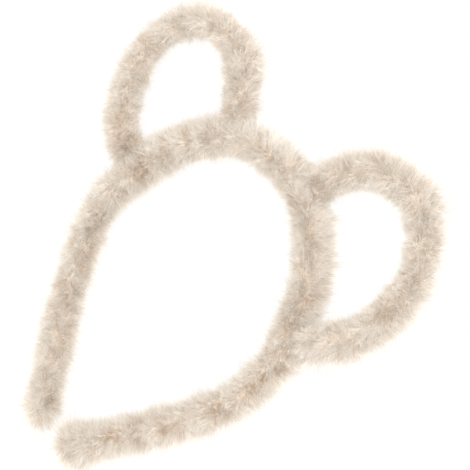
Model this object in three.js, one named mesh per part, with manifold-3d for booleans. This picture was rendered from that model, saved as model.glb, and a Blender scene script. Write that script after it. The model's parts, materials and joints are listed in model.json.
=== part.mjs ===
// Teddy bear ears headband: a padded hair band and two open ear loops, all covered in short plush pile.
// Millimetres, +Z up. It lies flat on its side as it would on a table, ears towards +Y and tips towards -Y.

import * as THREE from "three";
import { mergeVertices } from "three/addons/utils/BufferGeometryUtils.js";
import Module from "manifold-3d";

const wasm = await Module();
wasm.setup();

// Driving dimensions
const PLUSH_COLOUR = 0xdfd0bf;
const PLUSH_ROUGHNESS = 0.95;
const MIDDLE_HEIGHT = 6.9; // of every tube's middle line above the table
const TABLE = 0; // the pile is pressed flat where it lies
const SEAM_GAP = 0.35; // between an ear's foot and the band it is sewn to
const ROUND_END = 7.5; // length over which a tip of the band rounds off

// One lock of pile: its spacing along and round the tube, and how far its tip stands proud
const LOCK_LENGTH = 10;
const LOCK_WIDTH = 7.5;
const LOCK_PROUD = 2.6;
const LOCK_OVERLAP = 1.3; // its own length over the spacing
const LOCK_BREADTH = 1.25; // its own width over the spacing
const LOCK_STRAY = 0.7; // share of the spacing by which it may lie out of line
const LOCK_SPREAD = 0.45; // share by which it may be lower than another
const LOCK_ROOT = 0.35; // share of its height where it begins
const LOCK_MEAN = 0.65; // share of LOCK_PROUD that the tube's thickness already counts
const RINGS_PER_LOCK = 4;
const SIDES_PER_LOCK = 3;

// Crown of the band between the ears, where the plush is wound round in slanting turns
const CROWN_MIDDLE = 0.5; // share of the band's length
const CROWN_LENGTH = 24;
const CROWN_TURN = 8; // from one turn to the next
const CROWN_GROOVE = 1.8; // depth between two turns

const WELD = 1e-4; // vertices nearer than this are one
const CHANCE = { row: 127.1, column: 311.7, stretch: 43758.5453 }; // mixed into repeatable numbers

// Middle line of the band from tip to tip, with the thickness across the pile
const BAND_ROUTE = [
  { at: "left tip", x: -11.5, y: -122.8, thick: 15.4 },
  { at: "left arm, low", x: -34, y: -84.5, thick: 16 },
  { at: "left arm, high", x: -50.9, y: -48.5, thick: 15 },
  { at: "left temple", x: -55.6, y: -29.7, thick: 15.2 },
  { at: "left ear, outer foot", x: -51.2, y: -10.5, thick: 18 },
  { at: "left ear, middle", x: -43.6, y: 8.3, thick: 17.4 },
  { at: "left ear, inner foot", x: -30.5, y: 24.2, thick: 17.8 },
  { at: "crown, left", x: -13.6, y: 33.2, thick: 16.6 },
  { at: "crown, top", x: 5.2, y: 34.6, thick: 15.8 },
  { at: "crown, right", x: 24.5, y: 30.7, thick: 16.8 },
  { at: "right ear, inner foot", x: 39.5, y: 18.7, thick: 17.2 },
  { at: "right ear, middle", x: 50.8, y: 2.4, thick: 17 },
  { at: "right ear, outer foot", x: 57.5, y: -16.5, thick: 17 },
  { at: "right temple", x: 58.5, y: -35, thick: 14.4 },
  { at: "right arm, high", x: 53.3, y: -54.6, thick: 15.8 },
  { at: "right arm, low", x: 32.1, y: -86.9, thick: 16.2 },
  { at: "right tip", x: 3.4, y: -122.4, thick: 18.6 },
];

// Middle lines of the ears, each from one foot inside the band over the top to the other foot inside it
const LEFT_EAR_ROUTE = [
  { at: "outer foot", x: -50, y: -5.5, thick: 16.4 },
  { at: "outer side, low", x: -68.3, y: -3.5, thick: 16.6 },
  { at: "outer side", x: -82.9, y: 16.1, thick: 15 },
  { at: "outer shoulder", x: -85.5, y: 41.8, thick: 13 },
  { at: "top", x: -68.3, y: 60.3, thick: 14.3 },
  { at: "inner shoulder", x: -43, y: 56.9, thick: 15.5 },
  { at: "inner side", x: -28.3, y: 38.8, thick: 16 },
  { at: "inner foot", x: -22, y: 28.6, thick: 16 },
];
const RIGHT_EAR_ROUTE = [
  { at: "inner foot", x: 23, y: 29.5, thick: 16 },
  { at: "inner side", x: 27.2, y: 43.2, thick: 15.4 },
  { at: "inner shoulder", x: 43, y: 58.6, thick: 15.9 },
  { at: "top", x: 64.4, y: 59.2, thick: 15.8 },
  { at: "outer shoulder", x: 82.9, y: 37.8, thick: 13.6 },
  { at: "outer side", x: 82.1, y: 9.1, thick: 15.8 },
  { at: "outer side, low", x: 70.1, y: -8.1, thick: 16.6 },
  { at: "outer foot", x: 55, y: -12, thick: 16.6 },
];

// A repeatable number from 0 to 1 for the lock in that row and column
function lockChance(row, column) {
  const wave = Math.sin(row * CHANCE.row + column * CHANCE.column) * CHANCE.stretch;
  return wave - Math.floor(wave);
}

// How far the pile stands out or in at a place on a tube. Each lock rises along the tube from its root to its
// tip, which ends over the roots of the next ones, and the highest lock at a place is the one that shows.
function lockRelief(along, turn, locksRound) {
  const lastRow = Math.floor(along / LOCK_LENGTH);
  let highest = 0;
  for (let row = lastRow - 2; row <= lastRow; row += 1) {
    for (let column = 0; column < locksRound; column += 1) {
      const root = (row + LOCK_STRAY * lockChance(row, column)) * LOCK_LENGTH;
      const middle = column + (row % 2) / 2 + LOCK_STRAY * (lockChance(column, row) - 0.5);
      const rise = (along - root) / (LOCK_LENGTH * LOCK_OVERLAP);
      const apart = turn - middle / locksRound;
      const across = ((apart - Math.round(apart)) * 2 * locksRound) / LOCK_BREADTH;
      if (rise < 0 || rise > 1 || Math.abs(across) > 1) continue;
      const tip = 1 - LOCK_SPREAD * lockChance(row + 0.5, column);
      highest = Math.max(highest, tip * THREE.MathUtils.lerp(LOCK_ROOT, 1, rise) * (1 - across * across));
    }
  }
  return LOCK_PROUD * (highest - LOCK_MEAN);
}

// The same on the crown, where slanting turns stand up with a groove between them, half out and half in
function turnRelief(along, turn) {
  const place = along / CROWN_TURN + turn;
  return CROWN_GROOVE * (Math.abs(Math.sin(Math.PI * place)) - 2 / Math.PI);
}

// A tube's middle line and its thickness along it
function routeOf(rows) {
  const points = rows.map((row) => new THREE.Vector3(row.x, row.y, MIDDLE_HEIGHT));
  const curve = new THREE.CatmullRomCurve3(points, false, "centripetal");
  const spans = rows.length - 1;
  const thickAt = (share) => {
    const place = curve.getUtoTmapping(share) * spans;
    const low = Math.min(Math.floor(place), spans - 1);
    return THREE.MathUtils.lerp(rows[low].thick, rows[low + 1].thick, place - low);
  };
  return { curve, thickAt, length: curve.getLength(), thick: rows[0].thick };
}

// A closed plush tube along a route: a sphere's grid of rings and sides is drawn out along the middle line.
// radiusAt gives the radius for a length along the tube, a share of a turn round it and the locks in a ring.
function plushTube(route, radiusAt, floor = TABLE) {
  const locksRound = Math.round((Math.PI * route.thick) / LOCK_WIDTH);
  const rings = Math.round(route.length / LOCK_LENGTH) * RINGS_PER_LOCK;
  const geometry = new THREE.SphereGeometry(1, locksRound * SIDES_PER_LOCK, rings);
  const { position, uv } = geometry.attributes;
  const up = new THREE.Vector3(0, 0, 1);
  for (let i = 0; i < position.count; i += 1) {
    const share = 1 - uv.getY(i);
    const turn = uv.getX(i) % 1;
    const onEnd = share === 0 || share === 1;
    const radius = onEnd ? 0 : radiusAt(share, turn, locksRound);
    const side = new THREE.Vector3().crossVectors(up, route.curve.getTangentAt(share)).normalize();
    const angle = -turn * 2 * Math.PI;
    const point = route.curve
      .getPointAt(share)
      .addScaledVector(side, radius * Math.cos(angle))
      .addScaledVector(up, radius * Math.sin(angle));
    position.setXYZ(i, point.x, point.y, Math.max(point.z, floor));
  }
  geometry.deleteAttribute("normal");
  geometry.deleteAttribute("uv");
  return mergeVertices(geometry, WELD);
}

// Share of the full radius at a distance from a rounded tip
function tipShare(distance) {
  const left = Math.min(distance / ROUND_END, 1);
  return Math.sqrt(left * (2 - left));
}

// The whole band, or with extra the form that holds the ears' feet a gap away from it
function bandForm(route, extra = 0) {
  const radiusAt = (share, turn, locksRound) => {
    const along = share * route.length;
    const fromCrown = Math.abs(along - CROWN_MIDDLE * route.length);
    const woundTo = CROWN_LENGTH / 2;
    const wound = 1 - THREE.MathUtils.smoothstep(fromCrown, woundTo - CROWN_TURN / 2, woundTo);
    const relief = THREE.MathUtils.lerp(lockRelief(along, turn, locksRound), turnRelief(along, turn), wound);
    return (route.thickAt(share) / 2 + relief) * tipShare(Math.min(along, route.length - along)) + extra;
  };
  return plushTube(route, radiusAt, TABLE - extra);
}

function earForm(rows) {
  const route = routeOf(rows);
  const radiusAt = (share, turn, locksRound) =>
    route.thickAt(share) / 2 + lockRelief(share * route.length, turn, locksRound);
  return plushTube(route, radiusAt);
}

function solidOf(geometry) {
  const vertProperties = geometry.attributes.position.array;
  const triVerts = new Uint32Array(geometry.index.array);
  return new wasm.Manifold(new wasm.Mesh({ numProp: 3, vertProperties, triVerts }));
}

function geometryOf(solid) {
  const { vertProperties, triVerts } = solid.getMesh();
  const geometry = new THREE.BufferGeometry();
  geometry.setAttribute("position", new THREE.BufferAttribute(vertProperties, 3));
  geometry.setIndex(new THREE.BufferAttribute(triVerts, 1));
  return geometry;
}

function plushPiece(name, geometry) {
  const material = new THREE.MeshStandardMaterial({
    color: PLUSH_COLOUR,
    roughness: PLUSH_ROUGHNESS,
    metalness: 0,
  });
  geometry.computeVertexNormals();
  const mesh = new THREE.Mesh(geometry, material);
  mesh.name = name;
  return mesh;
}

const bandRoute = routeOf(BAND_ROUTE);
const seam = solidOf(bandForm(bandRoute, SEAM_GAP));
const sewnEar = (rows) => geometryOf(solidOf(earForm(rows)).subtract(seam));

const headband = new THREE.Group();
headband.add(plushPiece("band", bandForm(bandRoute)));
headband.add(plushPiece("ear_left", sewnEar(LEFT_EAR_ROUTE)));
headband.add(plushPiece("ear_right", sewnEar(RIGHT_EAR_ROUTE)));

// The part's origin is the middle of its footprint
const footprint = new THREE.Box3().setFromObject(headband).getCenter(new THREE.Vector3());
headband.position.set(-footprint.x, -footprint.y, 0);

export default headband;
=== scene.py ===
# %% [markdown]
# A fluffy headband with two open bear-ear loops. The imported solids give every tube its place and its outer
# form. This script turns each of them into what it really is: a padded core with a coat of plush pile.
# First the solids are loaded as a fixed frame. The pile may only stand a little proud of it.

# %% Load the frame
import json
import math

import bmesh
import bpy
import numpy as np
from mathutils import Matrix, Vector


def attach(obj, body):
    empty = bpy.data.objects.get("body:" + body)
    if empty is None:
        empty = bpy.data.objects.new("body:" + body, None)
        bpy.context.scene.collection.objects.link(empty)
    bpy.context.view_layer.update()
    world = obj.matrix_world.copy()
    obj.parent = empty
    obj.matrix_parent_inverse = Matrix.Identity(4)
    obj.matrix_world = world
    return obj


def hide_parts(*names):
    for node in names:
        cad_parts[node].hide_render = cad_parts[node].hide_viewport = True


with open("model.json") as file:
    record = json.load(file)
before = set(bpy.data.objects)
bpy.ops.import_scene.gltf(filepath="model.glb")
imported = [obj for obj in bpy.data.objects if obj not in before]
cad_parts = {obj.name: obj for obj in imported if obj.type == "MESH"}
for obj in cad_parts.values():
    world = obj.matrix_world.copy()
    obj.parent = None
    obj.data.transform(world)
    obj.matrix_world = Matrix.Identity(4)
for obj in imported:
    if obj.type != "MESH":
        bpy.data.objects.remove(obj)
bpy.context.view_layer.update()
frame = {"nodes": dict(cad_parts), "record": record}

MM = 0.001
OPENING_ROWS = frame["record"]["physics"]["openings"]
OPENINGS = {row["name"]: np.array(row["box_m"]) for row in OPENING_ROWS}
scene = bpy.context.scene
print("solids:", sorted(frame["nodes"]), "openings:", sorted(OPENINGS))

# %% [markdown]
# The photograph looks down on the headband as it lies, from above its right side, with the camera turned
# about its own axis. A long lens from an arm's length away gives the same weak perspective. The camera is
# placed by its angles round a point that it looks at, so that each of them can be changed alone.

# %% Camera
PHOTO_SIDE = 470
FOCAL_PIXELS = 1500
AIM = Vector((8.4, 27.5, 6.9)) * MM
DISTANCE = 625 * MM
NEAREST_SEEN = 10 * MM
AZIMUTH, ELEVATION, ROLL = (math.radians(angle) for angle in (108.4, 58.0, -68.0))

camera_data = bpy.data.cameras.new("camera")
camera_data.lens = camera_data.sensor_width * FOCAL_PIXELS / PHOTO_SIDE
camera_data.clip_start = NEAREST_SEEN
camera = bpy.data.objects.new("camera", camera_data)
scene.collection.objects.link(camera)
turn = Matrix.Rotation(AZIMUTH, 4, "Z") @ Matrix.Rotation(math.pi / 2 - ELEVATION, 4, "X")
turn = turn @ Matrix.Rotation(ROLL, 4, "Z")
camera.matrix_world = Matrix.Translation(AIM + turn.to_3x3() @ Vector((0, 0, DISTANCE))) @ turn
scene.camera = camera
stand = [round(value, 3) for value in camera.matrix_world.translation]
print("camera at", stand, "lens", round(camera_data.lens))

# %% [markdown]
# Both the materials and the coat of pile are made of nodes. Writing them as plain sums keeps them readable,
# so a small class wraps one output of a node: adding or multiplying such wires adds the node that does it.


# %% Wires
def find_socket(sockets, name):
    """A socket by its number, its identifier or its name, among those that the node's options leave on."""
    if isinstance(name, int):
        return sockets[name]
    return next(s for s in sockets if s.enabled and name in (s.identifier, s.name))


class Wire:
    """One output of a node. Sums and products of wires add the nodes that work them out."""

    def __init__(self, board, socket):
        self.board = board
        self.socket = socket

    def also(self, name):
        """Another output of the same node."""
        return Wire(self.board, find_socket(self.socket.node.outputs, name))

    def maths(self, operation, first, second):
        kind = "ShaderNodeVectorMath" if self.socket.type in ("VECTOR", "RGBA") else "ShaderNodeMath"
        return self.board.node(kind, {0: first, 1: second}, operation=operation)

    def __add__(self, other):
        return self.maths("ADD", self, other)

    def __sub__(self, other):
        return self.maths("SUBTRACT", self, other)

    def __rsub__(self, other):
        return self.maths("SUBTRACT", other, self)

    def __mul__(self, other):
        return self.maths("MULTIPLY", self, other)

    def __pow__(self, other):
        return self.maths("POWER", self, other)

    __radd__ = __add__
    __rmul__ = __mul__

    def vector_maths(self, operation, **sockets):
        return self.board.node("ShaderNodeVectorMath", {0: self, **sockets}, operation=operation)


print("wires ready")

# %% [markdown]
# The wires belong to a board, which is a tree of nodes that is being wired up. Any node comes from one
# method. It sets the node's options first, since they decide which sockets there are, and then fills or
# links the sockets. Colours are mixed more than once, so that has a method of its own.


# %% Boards
class Board:
    """A node tree that is being wired up."""

    def __init__(self, tree):
        self.tree = tree

    def node(self, kind, sockets=None, output=0, **settings):
        node = self.tree.nodes.new(kind)
        for name, value in settings.items():
            setattr(node, name, value)
        for name, value in (sockets or {}).items():
            socket = find_socket(node.inputs, name)
            if isinstance(value, Wire):
                self.tree.links.new(value.socket, socket)
            else:
                socket.default_value = value
        return Wire(self, find_socket(node.outputs, output)) if node.outputs else None

    def mix(self, factor, first, second, blend="MIX"):
        """Two colours, mixed or multiplied, and kept within what a surface can reflect."""
        sockets = {"Factor_Float": factor, "A_Color": first, "B_Color": second}
        settings = {"data_type": "RGBA", "blend_type": blend, "clamp_result": True}
        return self.node("ShaderNodeMix", sockets, "Result_Color", **settings)


def new_material(name):
    material = bpy.data.materials.new(name)
    material.use_nodes = True
    material.node_tree.nodes.clear()
    return material, Board(material.node_tree)


print("boards ready")

# %% [markdown]
# Plush pile is a dense coat of fine fibres. Deep in the coat light goes from fibre to fibre and takes on
# their colour, so the roots are painted warm and the tips cooler and less coloured, as painted light. Single
# fibres and whole tufts are also a little darker or lighter than their neighbours. One colour for all of it
# would look like felt. So the strands carry two numbers, root_to_tip and tone_and_painted_shade, and the
# colour follows every strand however it lies. The second number holds that tone of tufts and fibres, and
# also the painted shade and painted light of the seams, partings, ridges, sides and steep patches.

# %% Plush pile finish
ROOT_COLOUR = (0.955, 0.85, 0.752, 1)
TIP_COLOUR = (0.885, 0.87, 0.815, 1)
TONE_AND_SHADE_STRENGTH = {"Red": 0.40, "Green": 0.485, "Blue": 0.57}


def plush_pile():
    material, board = new_material("plush_pile")
    up = board.node("ShaderNodeAttribute", output="Fac", attribute_name="root_to_tip")
    shade = board.node("ShaderNodeAttribute", output="Fac", attribute_name="tone_and_painted_shade")
    channels = {channel: 1 - strength * shade for channel, strength in TONE_AND_SHADE_STRENGTH.items()}
    dimming = board.node("ShaderNodeCombineColor", channels)
    colour = board.mix(1.0, board.mix(up, ROOT_COLOUR, TIP_COLOUR), dimming, blend="MULTIPLY")
    surface = board.node(
        "ShaderNodeBsdfPrincipled",
        {"Base Color": colour, "Roughness": 0.85, "Specular IOR Level": 0.2, "Sheen Weight": 0.05},
    )
    board.node("ShaderNodeOutputMaterial", {"Surface": surface})
    return material


PILE_FINISH = plush_pile()
print("finish:", PILE_FINISH.name)

# %% [markdown]
# Under the pile lies the knitted cloth that holds it. It only shows as the dark of a parting, so a fine
# noise for its loops, in the colour and as a bump, is enough.

# %% Backing finish
BACKING_COLOUR = (0.56, 0.48, 0.39, 1)
LOOP_COLOUR = (0.68, 0.58, 0.47, 1)
LOOPS_PER_METRE = 900.0


def knit_backing():
    material, board = new_material("knit_backing")
    place = board.node("ShaderNodeTexCoord", output="Object")
    loops = board.node("ShaderNodeTexNoise", {"Vector": place, "Scale": LOOPS_PER_METRE}, output="Fac")
    bump = board.node("ShaderNodeBump", {"Height": loops, "Strength": 0.4, "Distance": 0.3 * MM})
    colour = board.mix(loops, BACKING_COLOUR, LOOP_COLOUR)
    surface = board.node(
        "ShaderNodeBsdfPrincipled",
        {"Base Color": colour, "Roughness": 0.95, "Normal": bump},
    )
    board.node("ShaderNodeOutputMaterial", {"Surface": surface})
    return material


BACKING_FINISH = knit_backing()
print("finish:", BACKING_FINISH.name)

# %% [markdown]
# How the coat grows depends on how far along its tube a place lies and which way the tube runs there. Every
# tube here goes round an opening: the band round the head, each ear round its own hole. Cutting the solid
# into slices like a cake, from the middle of that opening, and averaging each slice gives the tube's middle
# line. A running mean takes out the bumps of single locks.

# %% Middle lines
SLICES = 150
MEAN_OF = 5


def points_of(mesh):
    points = np.empty(len(mesh.vertices) * 3)
    mesh.vertices.foreach_get("co", points)
    return points.reshape(-1, 3)


def middle_line(points, centre, gap):
    """Middles of a tube's slices round a centre, from one side of its gap to the other."""
    away = points[:, :2] - centre
    turned = np.arctan2(away[:, 1], away[:, 0]) - math.atan2(gap[1] - centre[1], gap[0] - centre[0])
    which = (turned % (2 * math.pi) / (2 * math.pi) * SLICES).astype(int)
    middles = np.array([points[which == i].mean(axis=0) for i in range(SLICES) if (which == i).any()])
    beyond = MEAN_OF // 2
    stretched = np.pad(middles, ((beyond, beyond), (0, 0)), mode="edge")
    running = np.ones(MEAN_OF) / MEAN_OF
    return np.column_stack([np.convolve(stretched[:, axis], running, "valid") for axis in range(3)])


def flat_middle(*names):
    return np.mean([OPENINGS[name].mean(axis=0)[:2] for name in names], axis=0)


MOUTH = flat_middle("tips_mouth")
HEAD = np.array([MOUTH[0], flat_middle("head_middle", "head_low")[1]])
ROUND = {
    "band": (HEAD, MOUTH),
    "ear_left": (flat_middle("ear_left_loop"), HEAD),
    "ear_right": (flat_middle("ear_right_loop"), HEAD),
}
MIDDLES = {}
for name, (centre, gap) in ROUND.items():
    MIDDLES[name] = middle_line(points_of(frame["nodes"][name].data), centre, gap)
    run = np.linalg.norm(np.diff(MIDDLES[name], axis=0), axis=1).sum()
    print(name, "middle line", round(run / MM), "mm")

# %% [markdown]
# Under its coat the real headband is a padded tube in knitted backing. The core that stands for it is the
# solid with the depth of the pile taken off all round: a merged copy whose points move inwards and are then
# smoothed, which evens out the locks. The band's points move along their normals. At an ear's cut ends the
# normals point along the tube, so an ear's points are drawn in across it, towards its middle line.

# %% Cores
PILE_DEPTH = 2.2 * MM
MERGE_DISTANCE = 0.01 * MM
USUAL_RADIUS_PERCENTILE = 75
SMOOTHING_PASSES = 3
SMOOTHING_SHARE = 0.5


def along_at(name, points):
    """For each point: its share of the way along the tube, the middle there, and which way the tube runs."""
    line = MIDDLES[name]
    run = np.gradient(line, axis=0) * (1, 1, 0)
    run /= np.linalg.norm(run, axis=1)[:, None]
    nearest = np.linalg.norm(points[:, None] - line[None], axis=2).argmin(axis=1)
    return nearest / (len(line) - 1), line[nearest], run[nearest]


def ways_in(name, points, normals):
    """Which way each point of a solid moves to make the core, with a length of about 1."""
    if name == "band":
        return -normals
    _, middle, run = along_at(name, points)
    inwards = middle - points
    inwards -= (inwards * run).sum(axis=1)[:, None] * run
    return inwards / np.percentile(np.linalg.norm(inwards, axis=1), USUAL_RADIUS_PERCENTILE)


def core_of(name):
    work = bmesh.new()
    work.from_mesh(frame["nodes"][name].data)
    bmesh.ops.remove_doubles(work, verts=work.verts, dist=MERGE_DISTANCE)
    work.normal_update()
    points = np.array([vert.co for vert in work.verts])
    normals = np.array([vert.normal for vert in work.verts])
    for vert, place in zip(work.verts, points + ways_in(name, points, normals) * PILE_DEPTH):
        vert.co = place
    all_axes = {"use_axis_x": True, "use_axis_y": True, "use_axis_z": True}
    for _ in range(SMOOTHING_PASSES):
        bmesh.ops.smooth_vert(work, verts=work.verts, factor=SMOOTHING_SHARE, **all_axes)
    mesh = bpy.data.meshes.new(name + "_core")
    work.to_mesh(mesh)
    work.free()
    mesh.shade_smooth()
    mesh.materials.append(BACKING_FINISH)
    return mesh


CORES = {name: core_of(name) for name in ROUND}
for name, mesh in CORES.items():
    print(name, "core:", len(mesh.polygons), "triangles")

# %% [markdown]
# The strands will stand on the cores, so each point of a core keeps what they need to know: which way is
# out, how dense the coat is, which way it is combed, how full it grows, and how much painted shade or
# painted light it takes. Painting this by hand in Blender would work too, but as sums on arrays it can be
# read and changed. The underside, pressed on the table, has a thinner coat.

# %% How the pile grows at each point
UNDERSIDE_COAT = 0.4
COAT_ZONE = (-0.9, -0.4)  # upward part of a normal where the coat is thinnest, and where it is full


def bell(far, width):
    """1 at no distance, falling smoothly to almost nothing at twice the width."""
    return np.exp(-((far / width) ** 2))


class Pile:
    """What the pile does at each point of a core."""

    def __init__(self, name):
        self.points = points_of(CORES[name])
        self.out = np.array([vert.normal for vert in CORES[name].vertices])
        self.share, _, self.run = along_at(name, self.points)
        self.coat = UNDERSIDE_COAT + (1 - UNDERSIDE_COAT) * self.facing(COAT_ZONE)
        self.comb = np.zeros_like(self.points)
        self.fullness = np.ones(len(self.points))
        # painted shade at each point; below 0 it is painted light
        self.dark = np.zeros(len(self.points))

    def facing(self, zone):
        """From 0 where the normals' upward part is at one end of a zone to 1 at its other end and beyond."""
        start, full = zone
        return np.clip((self.out[:, 2] - start) / (full - start), 0, 1)


PILES = {name: Pile(name) for name in ROUND}
for name, pile in PILES.items():
    print(name, "pile:", len(pile.points), "points, mean coat", round(pile.coat.mean(), 2))

# %% [markdown]
# The ends of the tubes differ. At the crown the plush is wound round the band, so there the pile is combed
# round it, and at the two tips it puffs out over the rounded end. The ears' cut ends are sewn to the band:
# no strand grows on the cut itself, and the pile beside the seam is given painted shade.

# %% Crown, tips and sewn ends
CROWN_COMB = 0.35
CROWN_SHARE = 0.42  # of the way along the band
CROWN_SPREAD = 0.14
TIP_FULLNESS = 0.5
TIP_SPREAD = 0.03
SEWN_END = 0.7  # a normal with more than this along the tube belongs to a cut end
SEAM_SHADES = {"ear_left": (0.15, 0.5), "ear_right": (0.0, 0.3)}
SEAM_SPREAD = 0.06


def shape_band(pile):
    wound = CROWN_COMB * bell(pile.share - CROWN_SHARE, CROWN_SPREAD)
    pile.comb += np.cross(pile.run, pile.out) * wound[:, None]
    pile.fullness += TIP_FULLNESS * bell(np.minimum(pile.share, 1 - pile.share), TIP_SPREAD)


def shape_ear(pile, seam_shades):
    pile.coat[np.abs((pile.out * pile.run).sum(axis=1)) > SEWN_END] = 0
    for shade, way in zip(seam_shades, (pile.share, 1 - pile.share)):
        # painted shade beside each seam, where the ear meets the band
        pile.dark += shade * bell(way, SEAM_SPREAD)


shape_band(PILES["band"])
for name, seam_shades in SEAM_SHADES.items():
    shape_ear(PILES[name], seam_shades)
    print(name, "bare points at the seam:", (PILES[name].coat == 0).sum())

# %% [markdown]
# The edge that the eye follows is the pile on the sides of the tubes. It is a little fuller than on top, but
# inside a loop it is pressed together and shorter. Handling leaves bulges and hollows in it, which could be
# left to chance. Here they are spots in millimetres, measured where the photograph's edge stands out or
# falls back.

# %% Sides of the tubes
SIDE_ZONE = (0.8, 0.4)  # upward part of a normal where a side begins, and where it is all side
SIDE_FULLNESS = 0.15
SIDE_LIGHT = 0.02
INNER_TRIM = {"band": 0.09, "ear_left": 0.35, "ear_right": 0.35}
BULGE = 0.5
BULGES = [
    (-78, 91),
    (-36, 91),
    (-40, 13),
    (-62, -17),
    (-50, -47),
    (-9, -77),
    (-18, -96),
    (5, -96),
    (67, -14),
    (70, 9),
    (93, 55),
    (77, 89),
    (61, 96),
    (3, -90),
]
HOLLOW = 0.35
HOLLOWS = [
    (-58, 94),
    (-23, 77),
    (19, 74),
    (-12, 52),
    (7, 53),
    (88, 84),
    (-7, -82),
    (-3, -81),
    (28, -75),
]
SPOT_WIDTH = 8.0 * MM


def shape_sides(pile, centre, trim):
    side = pile.facing(SIDE_ZONE)
    towards = centre - pile.points[:, :2]
    towards /= np.linalg.norm(towards, axis=1)[:, None]
    pile.fullness -= trim * np.clip((pile.out[:, :2] * towards).sum(axis=1), 0, 1)
    # painted light: the sides of the tubes are made a little lighter
    pile.dark -= SIDE_LIGHT * side
    pile.fullness += SIDE_FULLNESS * side
    for spots, growth in ((BULGES, BULGE), (HOLLOWS, -HOLLOW)):
        for spot in spots:
            far = np.linalg.norm(pile.points[:, :2] - np.array(spot) * MM, axis=1)
            pile.fullness += growth * bell(far, SPOT_WIDTH) * side


for name, pile in PILES.items():
    shape_sides(pile, ROUND[name][0], INNER_TRIM[name])
print("sides:", len(BULGES), "bulges and", len(HOLLOWS), "hollows")

# %% [markdown]
# On top, pile parts here and there, with painted shade in the gap, and in a few places it stands up in a
# ridge with painted light.
# These marks make a coat look handled. They were picked in the photograph and measured on the solids,
# as short lines seen from above, in millimetres. Beside a parting the pile is combed away from the line,
# shorter and darker. Beside a ridge it is combed towards the line, longer and lighter.

# %% Lines of the partings and ridges
PARTINGS = [
    # crown
    ((-7.8, 65.0), (-2.2, 57.9)),
    ((10.7, 68.6), (13.2, 64.4)),
    ((0.9, 63.9), (3.1, 61.9)),
    ((22.4, 55.6), (26.2, 51.1)),
    # band at the right ear's outer foot
    ((59.0, 4.6), (62.7, 7.6)),
    ((55.1, 13.9), (59.9, 18.6)),
    ((55.8, 24.5), (56.1, 30.8)),
    ((63.5, -0.9), (62.9, 3.3)),
    # left ear's outer foot and side
    ((-50.0, 16.0), (-45.9, 19.2)),
    ((-45.2, 23.3), (-48.6, 25.3)),
    ((-44.6, 20.3), (-42.2, 18.3)),
    ((-59.7, 23.5), (-61.8, 29.9)),
    ((-70.2, 27.0), (-69.9, 32.5)),
    # band between the left ear's feet
    ((-43.9, 37.3), (-38.0, 32.4)),
    ((-37.0, 45.8), (-31.9, 41.1)),
    # right ear's inner foot
    ((27.2, 63.4), (33.2, 60.7)),
    # right arm
    ((58.9, -17.0), (61.3, -4.8)),
    ((54.1, -29.7), (53.4, -25.9)),
    ((57.8, -26.7), (60.9, -24.6)),
    ((43.9, -45.8), (46.7, -43.8)),
    ((40.3, -52.7), (42.2, -48.9)),
    ((33.7, -61.8), (36.3, -61.6)),
    ((23.0, -73.3), (24.9, -67.9)),
    ((24.9, -67.9), (29.4, -66.6)),
    ((28.2, -59.5), (31.5, -57.7)),
    # left arm
    ((-49.2, -8.0), (-46.2, -10.0)),
    ((-45.3, -17.0), (-44.2, -24.6)),
    ((-43.8, -29.6), (-40.8, -31.3)),
    ((-44.2, -41.8), (-41.9, -38.3)),
    ((-38.7, -42.5), (-36.8, -39.6)),
    ((-35.2, -47.1), (-31.2, -47.3)),
    ((-29.2, -53.4), (-29.5, -50.3)),
    ((-26.7, -59.3), (-23.3, -62.2)),
    ((-21.5, -65.3), (-18.7, -70.1)),
    ((-13.4, -82.8), (-12.6, -78.0)),
]
RIDGES = [
    ((-6.3, 68.2), (-0.9, 59.0)),
    ((-6.3, 68.2), (6.0, 64.3)),
    ((13.9, 68.3), (24.7, 61.3)),
    ((24.7, 61.3), (31.9, 53.8)),
    ((-40.7, 43.4), (-33.5, 36.0)),
]
print("lines:", len(PARTINGS), "partings and", len(RIDGES), "ridges")

# %% [markdown]
# Each line works on the pile by its distance, seen from above. A bell curve fades it out to both sides, and
# only the upper half of a tube takes part, since a line seen from above must not mark the underside too.

# %% Part and ridge the pile
TOP_ZONE = (0, 1 / 3)  # upward part of a normal where the top begins, and where it is all top
PARTING_WIDTH = 1.2 * MM
PARTING_COMB_WIDTH = 2 * PARTING_WIDTH
PARTING_COMB = 0.4
PARTING_DEPTH = 0.4
PARTING_SHADE = 0.55
RIDGE_WIDTH = 2.0 * MM
RIDGE_COMB = 0.5
RIDGE_HEIGHT = 0.25
RIDGE_LIGHT = 0.15
ON_THE_LINE = 0.01 * MM


def beside(points, ends):
    """For each point, seen from above: the way to it from a line's nearest place, and how far that is."""
    start, end = np.array(ends) * MM
    line = end - start
    share = np.clip((points[:, :2] - start) @ line / (line @ line), 0, 1)
    away = np.zeros_like(points)
    away[:, :2] = points[:, :2] - start - share[:, None] * line
    far = np.linalg.norm(away, axis=1)
    return away / np.maximum(far, ON_THE_LINE)[:, None], far


def part_and_ridge(pile):
    top = pile.facing(TOP_ZONE)
    for ends in PARTINGS:
        away, far = beside(pile.points, ends)
        near = bell(far, PARTING_WIDTH) * top
        pile.comb += away * (PARTING_COMB * bell(far, PARTING_COMB_WIDTH) * top)[:, None]
        pile.fullness -= PARTING_DEPTH * near
        # painted shade beside a parting
        pile.dark += PARTING_SHADE * near
    for ends in RIDGES:
        away, far = beside(pile.points, ends)
        near = bell(far, RIDGE_WIDTH) * top
        pile.comb -= away * (RIDGE_COMB * near)[:, None]
        pile.fullness += RIDGE_HEIGHT * near
        # painted light along a ridge
        pile.dark -= RIDGE_LIGHT * near


for name, pile in PILES.items():
    part_and_ridge(pile)
    print(name, "darkest", round(pile.dark.max(), 2), "lightest", round(pile.dark.min(), 2))

# %% [markdown]
# What has been worked out is now stored on the cores as attributes, where the nodes can read it. The
# fullness is kept within limits, wider at the sides, so that no place goes bald and no strand leaves the
# size of the real thing.

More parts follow.
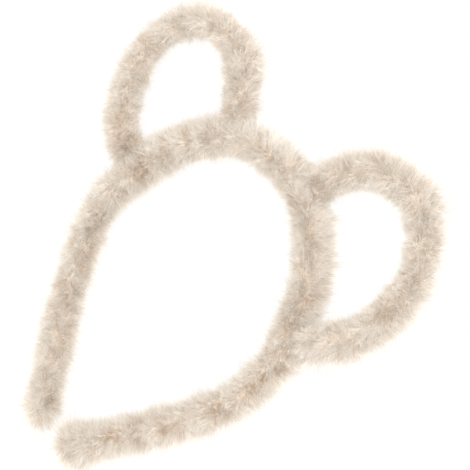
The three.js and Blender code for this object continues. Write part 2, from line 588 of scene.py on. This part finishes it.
# %% Store it on the cores
LEAST_FULLNESS = 0.3
MOST_FULLNESS = 1.1
SIDE_ALLOWANCE = 0.5


def store(mesh, name, values):
    kind, field = ("FLOAT_VECTOR", "vector") if values.ndim == 2 else ("FLOAT", "value")
    mesh.attributes.new(name, kind, "POINT").data.foreach_set(field, values.astype(np.float32).ravel())


for name, pile in PILES.items():
    most = MOST_FULLNESS + SIDE_ALLOWANCE * pile.facing(SIDE_ZONE)
    fullness = np.clip(pile.fullness, LEAST_FULLNESS, most)
    store(CORES[name], "outward", pile.out)
    store(CORES[name], "comb", pile.comb)
    store(CORES[name], "share", pile.share)
    store(CORES[name], "coat", pile.coat)
    store(CORES[name], "fullness", fullness)
    store(CORES[name], "dark", pile.dark)
    print(name, "fullness from", round(fullness.min(), 2), "to", round(fullness.max(), 2))

# %% [markdown]
# Long plush is made in two layers. A short, thick undercoat hides the backing, and long, thin guard hair
# over it makes the soft edge. Both are grown by the same tree of nodes from different sizes: lengths in
# metres, densities for a square metre, and shares. Blender's hair curves would be the usual way, but a part
# for the library needs plain meshes, so each strand is a slim closed cone.

# %% Sizes of the two layers
BOTH_LAYERS = {
    "Stray": 0.8,
    "Tousle Scale": 150.0,
    "Lumps": 1.1,
    "Lump Scale": 120.0,
    "Patches": 3.0,
    "Patch Scale": 330.0,
    # painted shade where a patch of pile stands steep
    "Patch Shade": 0.6,
}
UNDERCOAT = {
    **BOTH_LAYERS,
    "Reach": 3.6 * MM,
    "Reach Spread": 0.4,
    "Lift": 0.9,
    "Lean": 0.6,
    "Strand Density": 2.7e6,
    "Strand Radius": 0.18 * MM,
    "Tuft Density": 1.5e6,
    "Tuft Pull": 0.5,
    "Tuft Stray": 0.8,
    "Tousle": 1.5,
}
GUARD_HAIR = {
    **BOTH_LAYERS,
    "Reach": 6.3 * MM,
    "Reach Spread": 0.3,
    "Lift": 0.85,
    "Lean": 0.75,
    "Strand Density": 11.0e6,
    "Strand Radius": 0.053 * MM,
    "Tuft Density": 3.0e6,
    "Tuft Pull": 0.3,
    "Tuft Stray": 0.7,
    "Tousle": 1.8,
}
print("sizes of a layer:", len(UNDERCOAT))

# %% [markdown]
# The tree needs its inputs, the numbers stored on the core, chance and noise again and again, so its board
# has a method for each. Three smooth noises give the coat its unevenness: one sways the pile this way and
# that, one makes it longer and shorter in lumps, and one makes it lie flatter or steeper in small patches.

# %% Board for the coat
NOISE_MIDDLE = 0.5
LUMP_SHIFT = (1, 1, 1)
PATCH_SHIFT = (2, 2, 2)
DRAWS = {
    "tuft places": 1,
    "strand places": 2,
    "tuft reach": 3,
    "tuft sway": 4,
    "strand reach": 5,
    "strand sway": 6,
    "tuft shade": 7,
    "strand shade": 8,
    "strand girth": 9,
}


class CoatBoard(Board):
    """The tree that grows a coat, with the lie of the pile at each place worked out."""

    def __init__(self):
        super().__init__(bpy.data.node_groups.new("plush_coat", "GeometryNodeTree"))
        kinds = {"Geometry": "Geometry", "Seed": "Int", "Material": "Material"}
        kinds.update(dict.fromkeys(UNDERCOAT, "Float"))
        for name, kind in kinds.items():
            self.tree.interface.new_socket(name, in_out="INPUT", socket_type="NodeSocket" + kind)
        self.tree.interface.new_socket("Geometry", in_out="OUTPUT", socket_type="NodeSocketGeometry")
        self.given = self.node("NodeGroupInput").also
        self.place = self.node("GeometryNodeInputPosition")
        self.outward = self.stored("outward", "FLOAT_VECTOR")
        self.drift = self.drift_at(self.noise("Tousle Scale", self.place, "Color"))
        self.lumps = self.noise("Lump Scale", self.place + LUMP_SHIFT) - NOISE_MIDDLE
        self.patches = self.noise("Patch Scale", self.place + PATCH_SHIFT) - NOISE_MIDDLE

    def stored(self, name, kind="FLOAT"):
        return self.node("GeometryNodeInputNamedAttribute", {"Name": name}, "Attribute", data_type=kind)

    def noise(self, scale, vector, output="Fac"):
        return self.node("ShaderNodeTexNoise", {"Vector": vector, "Scale": self.given(scale)}, output)

    def seed(self, draw):
        return self.given("Seed") + DRAWS[draw]

    def chance(self, low, high, draw, kind="FLOAT", **more):
        sockets = {"Min": low, "Max": high, "Seed": self.seed(draw), **more}
        return self.node("FunctionNodeRandomValue", sockets, "Value", data_type=kind)

    def drift_at(self, noise):
        """Which way the pile drifts: with the noise and with the comb."""
        drift = noise - (NOISE_MIDDLE, NOISE_MIDDLE, NOISE_MIDDLE)
        return drift.vector_maths("SCALE", Scale=self.given("Tousle")) + self.stored("comb", "FLOAT_VECTOR")

    def keep(self, geometry, name, value):
        """The same geometry with a number stored on its points."""
        sockets = {"Geometry": geometry, "Name": name, "Value": value}
        return self.node("GeometryNodeStoreNamedAttribute", sockets, data_type="FLOAT", domain="POINT")


print("draws of chance for a strand and its tuft:", len(DRAWS))

# %% [markdown]
# Points are strewn over a core twice: some for the tufts and many for the strands. From each point a strand
# aims outwards and leans where the pile drifts, with a stray of its own. A tuft's tip is worked out in the
# same way, and every strand is then pulled part of the way towards the tip of the nearest tuft.

# %% Where the strands end
OWN_RISE = 0.25


def strewn(board, density, draw):
    sockets = {
        "Mesh": board.given("Geometry"),
        "Density": board.given(density) * board.stored("coat"),
        "Seed": board.seed(draw),
    }
    return board.node("GeometryNodeDistributePointsOnFaces", sockets, "Points")


def length_of(board, draw):
    """The length of a strand. Most are short, and a few long ones stand out as loose fuzz."""
    spread = board.given("Reach Spread")
    share = 1 - spread + 2 * spread * board.chance(0.0, 1.0, draw) ** 2
    lumpiness = 1 + board.given("Lumps") * board.lumps
    return share * (board.given("Reach") * board.stored("fullness") * lumpiness)


def tip(board, stray, reach_draw, sway_draw):
    """Where a strand that stands here would end: as high as the coat, and swayed to one side."""
    wander = board.chance((-1, -1, -1), (1, 1, 1), sway_draw, "FLOAT_VECTOR")
    sway = board.drift + wander.vector_maths("SCALE", Scale=board.given(stray))
    rise = sway.vector_maths("PROJECT", Vector_001=board.outward)
    full_lean = board.given("Lean") * (1 + board.given("Patches") * board.patches)
    lean = (sway - rise).vector_maths("NORMALIZE").vector_maths("SCALE", Scale=full_lean)
    lift = board.outward.vector_maths("SCALE", Scale=board.given("Lift"))
    lift = lift + rise.vector_maths("SCALE", Scale=OWN_RISE)
    return board.place + (lift + lean).vector_maths("SCALE", Scale=length_of(board, reach_draw))


def pulled_tip(board, tufts, nearest):
    """Where the strand really ends, part of the way towards the tip of its tuft."""
    tuft_tip = board.node(
        "GeometryNodeSampleIndex",
        {"Geometry": tufts, "Value": tip(board, "Tuft Stray", "tuft reach", "tuft sway"), "Index": nearest},
        data_type="FLOAT_VECTOR",
        domain="POINT",
    )
    own_tip = tip(board, "Stray", "strand reach", "strand sway")
    return own_tip + (tuft_tip - own_tip).vector_maths("SCALE", Scale=board.given("Tuft Pull"))


print("strands rise or sink by", OWN_RISE, "of their own sway")

# %% [markdown]
# One strand is a cone of three sides, closed at the root, that is stretched from its root to where it ends.
# It takes a tone from its tuft and one of its own, the painted shade and light stored on the core, and
# a little more painted shade where a patch stands steep and lets the eye in. What would end below the table
# is laid on it, as the real pile is pressed flat there.

# %% Tree for the coat
UNIT_CONE = {"Vertices": 3, "Radius Top": 0.0, "Radius Bottom": 1.0, "Depth": 1.0}
TUFT_SHADES = (-0.3, 0.5)
STRAND_SHADES = (-0.45, 0.75)
GIRTHS = (0.7, 1.2)
TABLE = 0.0


def strand_tone_and_shade(board, nearest):
    of_tuft = board.chance(*TUFT_SHADES, "tuft shade", ID=nearest)
    of_strand = board.chance(*STRAND_SHADES, "strand shade")
    return of_tuft + of_strand + board.stored("dark") - board.given("Patch Shade") * board.patches


def planted(board, strands, reach):
    """A cone on every point, as long as its reach and aimed along it."""
    cone = board.node("GeometryNodeMeshCone", UNIT_CONE, fill_type="NGON")
    height = board.node("ShaderNodeSeparateXYZ", {0: board.place}, "Z")
    cone = board.keep(cone, "root_to_tip", height)
    aimed = board.node("FunctionNodeAlignRotationToVector", {"Vector": reach}, axis="Z")
    girth = board.given("Strand Radius") * board.chance(*GIRTHS, "strand girth")
    length = reach.vector_maths("LENGTH").also("Value")
    scale = board.node("ShaderNodeCombineXYZ", {"X": girth, "Y": girth, "Z": length})
    sockets = {"Points": strands, "Instance": cone, "Rotation": aimed, "Scale": scale}
    cones = board.node("GeometryNodeInstanceOnPoints", sockets)
    return board.node("GeometryNodeRealizeInstances", {"Geometry": cones})


def laid(board, pile):
    """The same pile with nothing below the table."""
    parts = board.node("ShaderNodeSeparateXYZ", {0: board.place}, "X")
    level = board.node("ShaderNodeMath", {0: parts.also("Z"), 1: TABLE}, operation="MAXIMUM")
    above = board.node("ShaderNodeCombineXYZ", {"X": parts, "Y": parts.also("Y"), "Z": level})
    return board.node("GeometryNodeSetPosition", {"Geometry": pile, "Position": above})


def coat_tree():
    board = CoatBoard()
    tufts = strewn(board, "Tuft Density", "tuft places")
    strands = strewn(board, "Strand Density", "strand places")
    sockets = {"Geometry": tufts, "Sample Position": board.place}
    nearest = board.node("GeometryNodeSampleNearest", sockets, domain="POINT")
    reach = pulled_tip(board, tufts, nearest) - board.place
    strands = board.keep(strands, "tone_and_painted_shade", strand_tone_and_shade(board, nearest))
    pile = laid(board, planted(board, strands, reach))
    pile = board.node("GeometryNodeSetMaterial", {"Geometry": pile, "Material": board.given("Material")})
    board.node("NodeGroupOutput", {"Geometry": pile})
    return board.tree


COAT = coat_tree()
COAT_SOCKETS = {item.name: item.identifier for item in COAT.interface.items_tree if item.in_out == "INPUT"}
print("coat tree:", len(COAT.nodes), "nodes")

# %% [markdown]
# The coat is grown in stretches, four of the band and two of each ear, so that no piece becomes too heavy to
# handle. A stretch starts as a patch of the core's own faces, picked by how far along the tube they lie.

# %% Stretches
PAST_END = 1.01
STRETCHES = [
    ("left_arm", "band", 0.0, 0.27),
    ("left_crown", "band", 0.27, 0.5),
    ("right_crown", "band", 0.5, 0.73),
    ("right_arm", "band", 0.73, PAST_END),
    ("ear_left_first", "ear_left", 0.0, 0.5),
    ("ear_left_second", "ear_left", 0.5, PAST_END),
    ("ear_right_first", "ear_right", 0.0, 0.5),
    ("ear_right_second", "ear_right", 0.5, PAST_END),
]


def patch_of(core, low, high):
    """The faces of a core that lie between two shares of its length."""
    work = bmesh.new()
    work.from_mesh(core)
    share = work.verts.layers.float["share"]
    outside = [face for face in work.faces if not low <= face.verts[0][share] < high]
    bmesh.ops.delete(work, geom=outside, context="FACES")
    patch = bpy.data.meshes.new("patch")
    work.to_mesh(patch)
    work.free()
    return patch


print("stretches:", [name for name, *_ in STRETCHES])

# %% [markdown]
# A patch gets the tree as a modifier, once for the undercoat and once for the guard hair, with a seed for
# each. The grown coat is turned into a plain mesh, and the patch that it grew from is thrown away. Every
# piece then rides on the root body with the pile finish that the tree gave it, and its tube's solid is
# hidden.

# %% Grow the coat
SEEDS_APART = 100
GUARD_HAIR_SEED = 50


def grow(name, patch, sizes, seed):
    grower = bpy.data.objects.new("grower", patch)
    scene.collection.objects.link(grower)
    coat = grower.modifiers.new("coat", "NODES")
    coat.node_group = COAT
    for size, value in {**sizes, "Seed": seed, "Material": PILE_FINISH}.items():
        coat[COAT_SOCKETS[size]] = value
    grown = grower.evaluated_get(bpy.context.evaluated_depsgraph_get())
    mesh = bpy.data.meshes.new_from_object(grown)
    bpy.data.objects.remove(grower)
    mesh.name = name
    piece = bpy.data.objects.new(name, mesh)
    scene.collection.objects.link(piece)
    return piece


total = 0
for number, (name, tube, low, high) in enumerate(STRETCHES, start=1):
    patch = patch_of(CORES[tube], low, high)
    seed = SEEDS_APART * number
    for piece in (
        grow(name + "_undercoat", patch, UNDERCOAT, seed),
        grow(name + "_guard_hair", patch, GUARD_HAIR, seed + GUARD_HAIR_SEED),
    ):
        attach(piece, "root")
        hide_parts(tube)
        piece.data.calc_loop_triangles()
        total += len(piece.data.loop_triangles)
        print(piece.name, len(piece.data.loop_triangles), "triangles")
    bpy.data.meshes.remove(patch)
print("coat:", total, "triangles")

# %% [markdown]
# The cores themselves are the padding. Each becomes a piece on the root body, and its solid is hidden.

# %% Cores as pieces
for name, mesh in CORES.items():
    core = bpy.data.objects.new(name + "_core", mesh)
    scene.collection.objects.link(core)
    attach(core, "root")
    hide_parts(name)
    print(core.name, "in place of", name)

# %% [markdown]
# The photograph is a bright catalogue picture with no shadow to speak of. A floor that glows like a light
# table takes no shadow, since it is nearly black under its own light. A plane with emission is enough.

# %% Floor
FLOOR_SIZE = 3.0
FLOOR_COLOUR = (0.03, 0.03, 0.03, 1)
WHITE = (1, 1, 1, 1)
FLOOR_GLOW = 0.96

half = FLOOR_SIZE / 2
floor_corners = [(-half, -half, 0), (half, -half, 0), (half, half, 0), (-half, half, 0)]
floor_mesh = bpy.data.meshes.new("floor")
floor_mesh.from_pydata(floor_corners, [], [(0, 1, 2, 3)])
floor_finish, board = new_material("pale_floor")
floor_surface = board.node(
    "ShaderNodeBsdfPrincipled",
    {
        "Base Color": FLOOR_COLOUR,
        "Roughness": 0.9,
        "Specular IOR Level": 0.0,
        "Emission Color": WHITE,
        "Emission Strength": FLOOR_GLOW,
    },
)
board.node("ShaderNodeOutputMaterial", {"Surface": floor_surface})
floor_mesh.materials.append(floor_finish)
floor = bpy.data.objects.new("floor", floor_mesh)
scene.collection.objects.link(floor)
print("floor:", FLOOR_SIZE, "m wide")

# %% [markdown]
# The light is even too. A bright sky all round does most of it, and one large soft lamp above the right
# side adds a little roundness. The standard view transform shows the colours as they were set.

# %% Light
SKY_STRENGTH = 1.1
LAMP_POWER = 22.0
LAMP_SIZE = 1.2
LAMP_PLACE = Vector((0.6, 0.35, 1.25))

world = bpy.data.worlds.new("sky")
world.use_nodes = True
sky = world.node_tree.nodes["Background"]
sky.inputs["Color"].default_value = WHITE
sky.inputs["Strength"].default_value = SKY_STRENGTH
scene.world = world

lamp_data = bpy.data.lights.new("lamp", "AREA")
lamp_data.energy = LAMP_POWER
lamp_data.size = LAMP_SIZE
lamp = bpy.data.objects.new("lamp", lamp_data)
lamp.location = LAMP_PLACE
lamp.rotation_euler = (-LAMP_PLACE).to_track_quat("-Z", "Y").to_euler()
scene.collection.objects.link(lamp)
scene.view_settings.view_transform = "Standard"
print("sky", SKY_STRENGTH, "and lamp", LAMP_POWER, "W")
